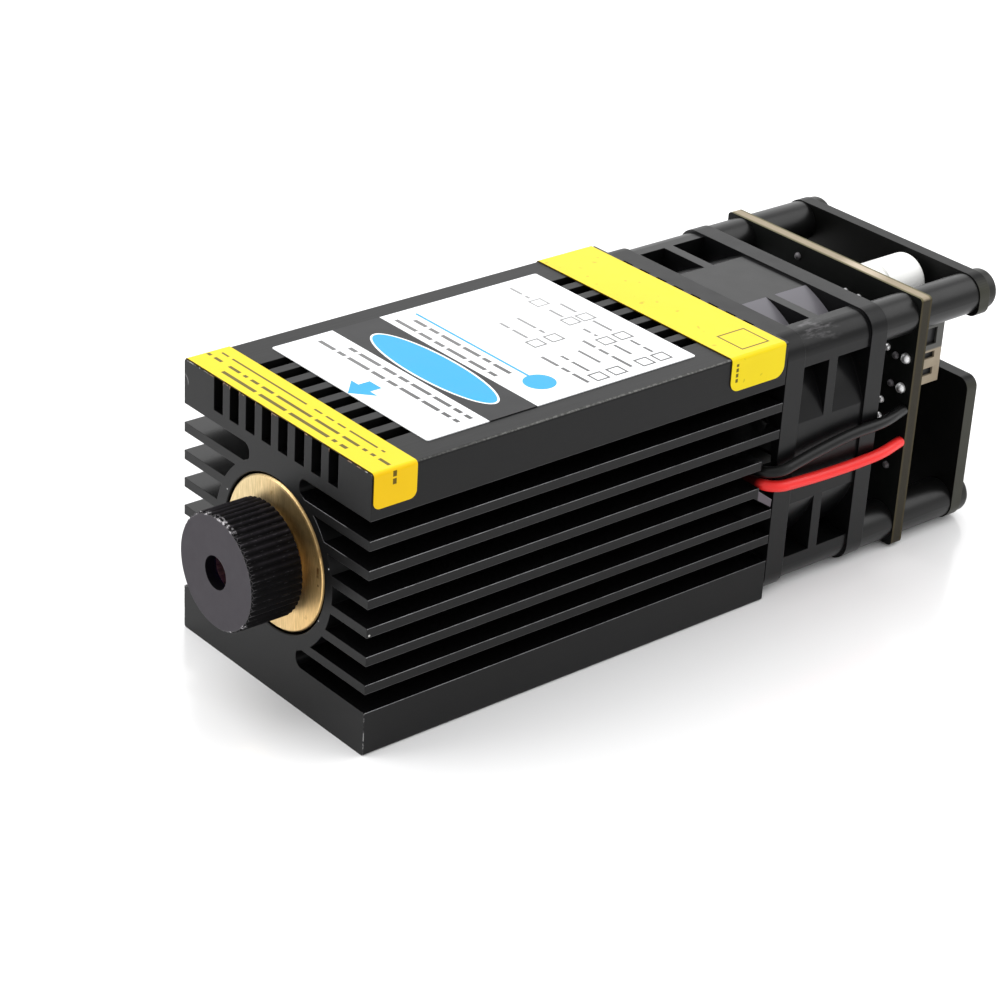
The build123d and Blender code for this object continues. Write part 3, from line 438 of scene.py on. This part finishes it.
# Front tape: rows of dashes, each with its low and high y behind the front face and its low and high
# x, the cells that they are cut into and the share of filled cells. Rear tape: its square's middle.
TAPE_ROWS = ((1.05, 1.5, -11.0, 9.7), (2.3, 2.7, -15.2, 14.6), (3.62, 3.88, -14.2, 12.3))
CELL = 0.62
FILLED = 0.8
SQUARE = (12.2, FRONT_Y + 50.2)


def tape_rows(net, x, y):
    """Rows of plain dashes: each row is cut into cells along x, and chance fills most of them."""
    cell = net.calc("FLOOR", net.calc("DIVIDE", x, CELL))
    rows = []
    for k, (y0, y1, x0, x1) in enumerate(TAPE_ROWS):
        seed = net.node("ShaderNodeCombineXYZ", _0=cell, _1=float(k), _2=0.5).outputs[0]
        chance = net.node("ShaderNodeTexWhiteNoise", Vector=seed).outputs["Value"]
        row = net.product(net.band(y, FRONT_Y + y0, FRONT_Y + y1), net.band(x, x0, x1))
        rows.append(net.product(row, net.calc("LESS_THAN", chance, FILLED)))
    return net.largest(*rows)


def yellow_film():
    """Glossy yellow tape with soft dents and rows of plain dashes."""
    net = Net("yellow_film")
    x, y, z = net.xyz()
    parts = net.normal()[1]
    cloud = net.noise(150.0, 2.0, 0.5)
    tone = net.mix(cloud, (0.74, 0.55, 0.008), (0.79, 0.62, 0.012))
    # painted shade: the front edge is dark, and the side tab, facing right, is a shaded golden copy of the
    # yellow on the front tape and a lemon copy on the rear one
    tone = net.mix(net.ramp(parts[1], -0.5, -0.8), tone, (0.1, 0.06, 0.004))
    shaded_golden = net.mix(cloud, (0.74, 0.45, 0.001), (0.79, 0.52, 0.002))
    lemon = net.mix(cloud, (0.75, 0.56, 0.004), (0.8, 0.64, 0.006))
    side = net.mix(net.ramp(y, -1.0, 1.0), shaded_golden, lemon)
    tone = net.mix(net.ramp(parts[0], 0.3, 0.8), tone, side)
    # on top: the dashes, and an empty outlined square near the right end of the rear tape
    across = net.calc("ABSOLUTE", net.calc("SUBTRACT", x, SQUARE[0]))
    along = net.calc("ABSOLUTE", net.calc("SUBTRACT", y, SQUARE[1]))
    outline = net.band(net.largest(across, along), 1.75, 1.95)
    marks = net.product(net.largest(tape_rows(net, x, y), outline), net.ramp(z, 30.4, 30.5))
    # on the right tabs: a short column of dashes on the rear tape and two marks on the front tape
    column = net.product(net.band(y, FRONT_Y + 46.4, FRONT_Y + 46.75), net.band(z, 27.8, 29.9))
    column = net.product(column, net.calc("GREATER_THAN", net.calc("FRACT", net.product(z, 1.7)), 0.3))
    pair = net.largest(net.band(z, 28.95, 29.55), net.band(z, 29.75, 30.35))
    pair = net.product(net.band(y, FRONT_Y + 2.35, FRONT_Y + 2.8), pair)
    side_marks = net.product(net.largest(column, pair), net.ramp(x, 15.3, 15.35))
    # specks on the rear tape
    specks = net.ramp(net.noise(1100.0, 1.0, 0.4), 0.73, 0.78)
    specks = net.product(specks, net.ramp(y, FRONT_Y + 45.0, FRONT_Y + 46.0), 0.35)
    dark = net.product(net.largest(marks, side_marks, specks), 0.88)
    net.set(Normal=net.bump(net.noise(260.0, 2.0, 0.4), 0.25, 0.12))
    return net.finish(net.mix(dark, tone, (0.03, 0.022, 0.003)), 0.32, 0.12)


def faded_print(name, right, left):
    """Grey ink that is paler towards the left of the sticker."""
    net = Net(name)
    grey = net.ramp(net.axis("x"), -5.0, 9.0, left, right)
    grey = net.product(grey, net.calc("MULTIPLY_ADD", net.noise(400.0), 0.2, 0.9))
    return net.finish(net.node("ShaderNodeCombineColor", _0=grey, _1=grey, _2=grey).outputs[0], 0.4)


def plate_black():
    """Black face, with painted light on the edges at the sides, which are olive grey."""
    net = Net("plate")
    cloud = net.noise(400.0, 3.0, 0.55)
    face = net.mix(cloud, (0.002, 0.002, 0.0018), (0.003, 0.003, 0.0027))
    # painted light: a lighter olive grey copy for the faces that point along x
    lit_side = net.mix(cloud, (0.03, 0.03, 0.022), (0.042, 0.042, 0.032))
    side = net.ramp(net.calc("ABSOLUTE", net.normal()[1][0]), 0.5, 0.9)
    net.round_edges(0.08)
    return net.finish(net.mix(side, face, lit_side), net.uneven(cloud, 0.4), 0.13)


# Solder joints that are dull, as x and the height above the fan's axis
DULL_JOINTS = ((12.1, 4.05), (12.3, 7.45), (12.9, -5.65), (-3.6, 13.5))


def solder():
    """Bright domes, four of them dull grey."""
    net = Net("solder", metal=1.0)
    x, z = net.axis("x"), net.axis("z")
    cloud = net.noise(900.0, 3.0, 0.6)
    darkened = net.largest(*[net.ramp(net.distance(x, a, z, AXIS_Z + b), 0.55, 0.5) for a, b in DULL_JOINTS])
    bright = net.mix(cloud, (0.72, 0.72, 0.72), (0.9, 0.9, 0.9))
    tone = net.mix(darkened, bright, net.mix(cloud, (0.1, 0.095, 0.1), (0.2, 0.19, 0.2)))
    return net.finish(tone, net.calc("MULTIPLY_ADD", darkened, 0.15, 0.46))


def red_sleeve():
    """Red sleeve, with painted shade that darkens the stretch between the fins."""
    net = Net("red")
    cloud = net.noise(900.0, 3.0, 0.55)
    tone = net.mix(cloud, (0.8, 0.0225, 0.0205), (0.9, 0.0255, 0.0235))
    # painted shade: nearly black where the sleeve lies in the shadow between the fins
    tone = net.mix(net.ramp(net.axis("x"), 15.1, 14.1), tone, (0.03, 0.0008, 0.001))
    return net.finish(tone, net.uneven(cloud, 0.36), 0.3)


def coated_glass():
    """Lens under a violet coating that reflects most of the light."""
    net = Net("coated_glass")
    net.set(**{"Transmission Weight": 0.1, "IOR": 1.6})
    return net.finish(net.mix(net.noise(300.0), (0.3, 0.1, 0.75), (0.5, 0.2, 0.95)), 0.08)


MATERIALS = {
    "black_anodised": black_anodised(),
    "brass": brushed_brass(),
    "knob": knob_black(),
    "steel": plain("steel", (0.5, 0.5, 0.52), 0.3, metal=1.0),
    "black_steel": plain("black_steel", (0.012, 0.012, 0.01), 0.4, round_width=0.08, gloss=0.25),
    "yellow_film": yellow_film(),
    "white_film": plain("white_film", (0.87, 0.88, 0.9), 0.3, spread=0.02, scale=120.0),
    "dark_print": plain("dark_print", (0.012, 0.012, 0.013), 0.35, spread=0.1, gloss=0.16),
    "cyan_print": plain("cyan_print", (0.012, 0.33, 0.8), 0.35, spread=0.04, gloss=0.2),
    "dark_rows": faded_print("dark_rows", 0.05, 0.12),
    "grey_rows": faded_print("grey_rows", 0.08, 0.26),
    "fan_plastic": fan_plastic(),
    "rotor_plastic": plain("rotor_plastic", (0.003, 0.003, 0.003), 0.4, spread=0.2, gloss=0.3),
    "spacer_plastic": plain(
        "spacer_plastic", (0.004, 0.004, 0.004), 0.34, spread=0.2, round_width=0.1, gloss=0.28
    ),
    "plate": plate_black(),
    "magnet": plain("magnet", (0.03, 0.03, 0.03), 0.6),
    "copper": plain("copper", (0.6, 0.26, 0.1), 0.4, metal=1.0),
    "bronze": plain("bronze", (0.45, 0.3, 0.15), 0.45, metal=1.0),
    "board": board_black(),
    "socket": socket_plastic(),
    "can": plain("can", (0.86, 0.86, 0.84), 0.35, spread=0.04, round_width=0.1),
    "ferrite": plain("ferrite", (0.03, 0.03, 0.03), 0.6),
    "solder": solder(),
    "red": red_sleeve(),
    "black_lead": plain(
        "black_lead", (0.004, 0.004, 0.004), 0.35, spread=0.2, scale=900.0, gloss=0.22
    ),
    "glass": coated_glass(),
}

LOOK = {
    "black_anodised": ["heat_sink"],
    "brass": ["laser_barrel", "retaining_plug", "lens_cell"],
    "knob": ["focus_knob"],
    "steel": ["laser_diode", "lens_spring", "fan_shaft"],
    "black_steel": ["grub_screws", "long_screws"],
    "yellow_film": ["front_tape", "rear_tape"],
    "white_film": ["label"],
    "fan_plastic": ["fan_frame"],
    "rotor_plastic": ["fan_rotor"],
    "spacer_plastic": ["short_spacers", "long_spacers", "fan_washers", "driver_chip", "rectifier"],
    "plate": ["rear_plate"],
    "magnet": ["rotor_magnet"],
    "copper": ["fan_stator"],
    "bronze": ["fan_bearing"],
    "board": ["driver_board", "fan_board"],
    "socket": ["power_socket"],
    "can": ["capacitor"],
    "ferrite": ["inductor", "chip_resistors"],
    "solder": ["solder_joints", "socket_pins"],
    "red": ["red_lead"],
    "black_lead": ["black_lead", "fan_leads", "pin_sleeves"],
    "glass": ["lens"],
}
for look, names in LOOK.items():
    for name in names:
        NODES[name].data.materials.clear()
        NODES[name].data.materials.append(MATERIALS[look])


def new_object(name, data):
    """Object with this data, put into the scene."""
    made = bpy.data.objects.new(name, data)
    SCENE.collection.objects.link(made)
    return made


def mesh_object(name, points, faces, look, smooth=True):
    """Mesh from an array of points in millimetres and the corners of its faces."""
    mesh = bpy.data.meshes.new(name)
    mesh.from_pydata((points * MM).tolist(), [], faces)
    mesh.update()
    mesh.polygons.foreach_set("use_smooth", np.full(len(mesh.polygons), smooth))
    mesh.materials.append(MATERIALS[look])
    return new_object(name, mesh)


def plates(name, outlines, low, high, look):
    """Flat plates: each outline of (x, y) carried straight up from z = low to z = high, and closed."""
    points = []
    faces = []
    first = 0
    for outline in outlines:
        n = len(outline)
        ring = np.arange(n)
        after = np.roll(ring, -1)
        points += [np.column_stack([outline, np.full(n, z)]) for z in (low, high)]
        sides = np.column_stack([ring, after, after + n, ring + n])
        faces += [(first + n + ring).tolist(), (first + ring[::-1]).tolist(), *(first + sides).tolist()]
        first += 2 * n
    made = mesh_object(name, np.concatenate(points), faces, look, smooth=False)
    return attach(made, "module")


def rounded_box(x0, x1, y0, y1, radius, steps=8):
    """Outline of a box with round corners: four quarter circles x = a + r cos t, y = b + r sin t."""
    t = np.arange(4)[:, None] * math.pi / 2 + np.linspace(0.0, math.pi / 2, steps + 1)
    a = np.where([[False], [True], [True], [False]], x0 + radius, x1 - radius)
    b = np.where([[False], [False], [True], [True]], y0 + radius, y1 - radius)
    return np.stack([a + radius * np.cos(t), b + radius * np.sin(t)], axis=-1).reshape(-1, 2)


def boxes(x0, x1, y0, y1):
    """Outlines of boxes from their sides. Each side is a number or an array with one value a box."""
    x0, x1, y0, y1 = np.broadcast_arrays(*np.atleast_1d(x0, x1, y0, y1))
    return np.stack([x0, y0, x1, y0, x1, y1, x0, y1], axis=-1).reshape(-1, 4, 2)


def frames_round(centres, side, line):
    """Four thin bars round each empty square, from the squares' centres and side and the bars' width."""
    x, y = np.transpose(centres)
    h = side / 2
    inside = h - line
    return np.concatenate([
        boxes(x - h, x + h, y - h, y - inside),
        boxes(x - h, x + h, y + inside, y + h),
        boxes(x - h, x - inside, y - inside, y + inside),
        boxes(x + inside, x + h, y - inside, y + inside),
    ])


# Lengths of the dashes in turn, the gap between them, the shortest and the most that a row has
DASH_LENGTHS = (2.6, 1.2, 3.4, 2.0, 1.5, 3.0)
DASH_GAP = 0.5
SHORTEST_DASH = 0.4
MOST_DASHES = 18


def dashes(x0, x1, y, height, first):
    """Row of dashes: the lengths of DASH_LENGTHS in turn, each a gap after the last, cut off at x1."""
    lengths = np.resize(np.roll(DASH_LENGTHS, -first), MOST_DASHES)
    steps = lengths + DASH_GAP
    starts = x0 + np.cumsum(steps) - steps
    shown = starts < x1 - SHORTEST_DASH
    starts = starts[shown]
    ends = np.minimum(starts + lengths[shown], x1)
    return boxes(starts, ends, y - height / 2, y + height / 2)


def oval(x, y, a, b, steps=72):
    """Outline of an ellipse: x + a cos t, y + b sin t."""
    t = np.linspace(0.0, 2 * math.pi, steps, endpoint=False)
    return np.column_stack([x + a * np.cos(t), y + b * np.sin(t)])


# Sticker: white film with a dark field, plain coloured shapes and rows of dashes. Its half width and
# corner radius, the levels of the film's top and the print's underside, and how far each ink stands
# above the film. The numbers after F are millimetres behind the heat sink's front face.
F = FRONT_Y
LABEL_X = 12.55
LABEL_CORNER = 0.25
FILM_TOP = TOP_Z + 0.09
PRINT = FILM_TOP - 0.01
INK, WHITE_INK, BLUE_INK = 0.006, 0.012, 0.018
OVAL = (0.2, F + 19.15)

film = rounded_box(-LABEL_X, LABEL_X, F + 8.6, F + 43.25, LABEL_CORNER)
sheet = plates("label_film", [film], TOP_Z, FILM_TOP, "white_film")
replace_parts(sheet, "label")
field = boxes(-LABEL_X - 0.01, LABEL_X + 0.01, F + 16.17, F + 22.18)
plates("label_field", field, TOP_Z, FILM_TOP + INK, "dark_print")
plates("label_outline", [oval(*OVAL, 9.75, 2.7)], PRINT, FILM_TOP + WHITE_INK, "white_film")
ARROW = (
    (0.0, 8.6), (2.1, 10.6), (0.95, 10.6), (0.95, 12.0), (-0.95, 12.0), (-0.95, 10.6), (-2.1, 10.6),
)
blue = [
    np.array(ARROW) + (0.1, F),
    oval(8.5, F + 25.9, 1.7, 1.7),
    *boxes(-11.2, 6.8, F + 25.75, F + 26.03),
    oval(*OVAL, 9.48, 2.46),
]
plates("label_colour", blue, PRINT, FILM_TOP + BLUE_INK, "cyan_print")

# Rows of dashes as (low x, high x, y, height), and the middles of the empty squares
ROWS = {
    "dark_rows": (
        (-11.2, 11.1, 13.55, 0.5), (-8.2, 11.2, 15.05, 0.5), (-11.1, 5.6, 23.2, 0.5),
        (-10.0, 5.4, 24.75, 0.5),
    ),
    "grey_rows": (
        (4.1, 11.3, 29.9, 0.42), (5.0, 9.3, 31.7, 0.36), (5.0, 9.3, 34.0, 0.36), (3.4, 11.3, 36.0, 0.42),
        (-4.6, -0.2, 31.7, 0.36), (-4.6, -0.2, 34.0, 0.36), (6.0, 9.4, 38.0, 0.36), (1.2, 3.4, 38.0, 0.36),
        (-4.4, -2.2, 38.2, 0.36), (-11.0, -7.8, 38.4, 0.36), (6.0, 9.4, 40.2, 0.36), (0.2, 3.4, 40.2, 0.36),
        (-5.0, -2.2, 40.2, 0.36),
    ),
}
SQUARES = (
    (10.75, 31.7), (10.75, 34.1), (10.7, 37.9), (10.7, 40.2), (1.25, 31.6), (1.25, 34.0),
    (4.75, 38.0), (4.7, 40.3), (-1.0, 38.2), (-0.95, 40.2), (-6.4, 38.5),
)
SQUARE_SIDE = 1.75
SQUARE_LINE = 0.24
for look, rows in ROWS.items():
    bars = [dashes(x0, x1, F + y, height, k) for k, (x0, x1, y, height) in enumerate(rows)]
    if look == "grey_rows":
        bars.append(frames_round(np.array(SQUARES) + (0.0, F), SQUARE_SIDE, SQUARE_LINE))
    plates(f"label_{look}", np.concatenate(bars), PRINT, FILM_TOP + INK, look)

# Spring: its turns, the radius of the coil and of its wire, and the steps of its mesh
SPRING_TURNS = 4
SPRING_R = 3.9
WIRE_R = 0.22
STEPS_A_TURN = 72
STEPS_ROUND_WIRE = 16


def spring_coil():
    """Spring behind the lens cell, a tube carried along a helix round the bore's axis.

    The wire's centre is x = a + R sin w, z = b + R cos w, and its y grows evenly with w. The skin
    is the centre + r (cos s outward + sin s sideways): outward is (sin w, 0, cos w), and sideways
    is square to it and to the wire. w runs along the wire and s round it.
    """
    front, rear = (corner.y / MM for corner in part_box("lens_spring"))
    w = np.linspace(0.0, 2 * math.pi * SPRING_TURNS, STEPS_A_TURN * SPRING_TURNS + 1)[:, None]
    s = np.linspace(0.0, 2 * math.pi, STEPS_ROUND_WIRE, endpoint=False)
    pitch = (rear - front - 2 * WIRE_R) / w.max()
    sine, cosine = np.sin(w), np.cos(w)
    out = WIRE_R * np.cos(s)
    side = WIRE_R * np.sin(s) / math.hypot(SPRING_R, pitch)
    x = BORE_X + (SPRING_R + out) * sine + side * pitch * cosine
    y = front + WIRE_R + pitch * w - side * SPRING_R
    z = BORE_Z + (SPRING_R + out) * cosine - side * pitch * sine
    place = np.arange(x.size).reshape(x.shape)
    after = np.roll(place, -1, axis=1)
    skin = np.stack([place[:-1], after[:-1], after[1:], place[1:]], axis=-1).reshape(-1, 4)
    faces = [*skin.tolist(), place[0, ::-1].tolist(), place[-1].tolist()]
    made = mesh_object("spring_coil", np.stack([x, y, z], axis=-1).reshape(-1, 3), faces, "steel")
    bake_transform(made)
    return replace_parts(made, "lens_spring")


spring_coil()

# Camera fitted to the photograph: place in metres and turn in degrees
CAMERA_PLACE = (0.197633, -0.171134, 0.149544)
CAMERA_TURN = (62.46791, -2.962965, 50.291196)
camera = new_object("camera", bpy.data.cameras.new("camera"))
camera.data.sensor_width = 36.0
camera.data.lens = 102.4075
camera.data.clip_start = 0.01
camera.data.clip_end = 20.0
camera.location = CAMERA_PLACE
camera.rotation_euler = Euler([math.radians(a) for a in CAMERA_TURN], "XYZ")
bpy.context.scene.camera = camera

FLOOR_SIZE = 6.0


def floor_material():
    """Pale, slightly glossy floor."""
    net = Net("floor")
    cloud = net.noise(3.0, 2.0, 0.5)
    return net.finish(net.mix(cloud, (0.92, 0.92, 0.925), (0.94, 0.94, 0.942)), 0.16, 0.45)


bpy.ops.mesh.primitive_plane_add(size=FLOOR_SIZE, location=(0, 0, 0))
floor = bpy.context.object
floor.name = "floor"
floor.data.materials.append(floor_material())

world = bpy.data.worlds.new("world")
SCENE.world = world
world.use_nodes = True
background = world.node_tree.nodes["Background"]
background.inputs["Color"].default_value = (1.0, 1.0, 1.0, 1.0)
background.inputs["Strength"].default_value = 0.88

# Lamps as (name, place in metres, width, power), all turned to the object's middle
CENTRE = (0.0, 0.02, 0.015)
LAMPS = (
    ("key", (-0.3, -0.2, 0.9), 0.8, 4.4),
    ("side", (0.8, 0.2, 0.4), 0.5, 0.6),
    ("front", (-0.5, -0.7, 0.35), 0.6, 2.6),
    ("back", (0.35, 0.75, 0.72), 0.8, 4.0),
    ("left", (-0.62, 0.7, 0.42), 0.7, 1.5),
)


def soft_lamp(name, place, width, power):
    """Soft square lamp, turned to the object's middle."""
    data = bpy.data.lights.new(name, "AREA")
    data.size = width
    data.energy = power
    lamp = new_object(name, data)
    lamp.location = place
    lamp.rotation_euler = (Vector(place) - Vector(CENTRE)).to_track_quat("Z", "Y").to_euler()


for lamp in LAMPS:
    soft_lamp(*lamp)

SCENE.view_settings.view_transform = "Standard"
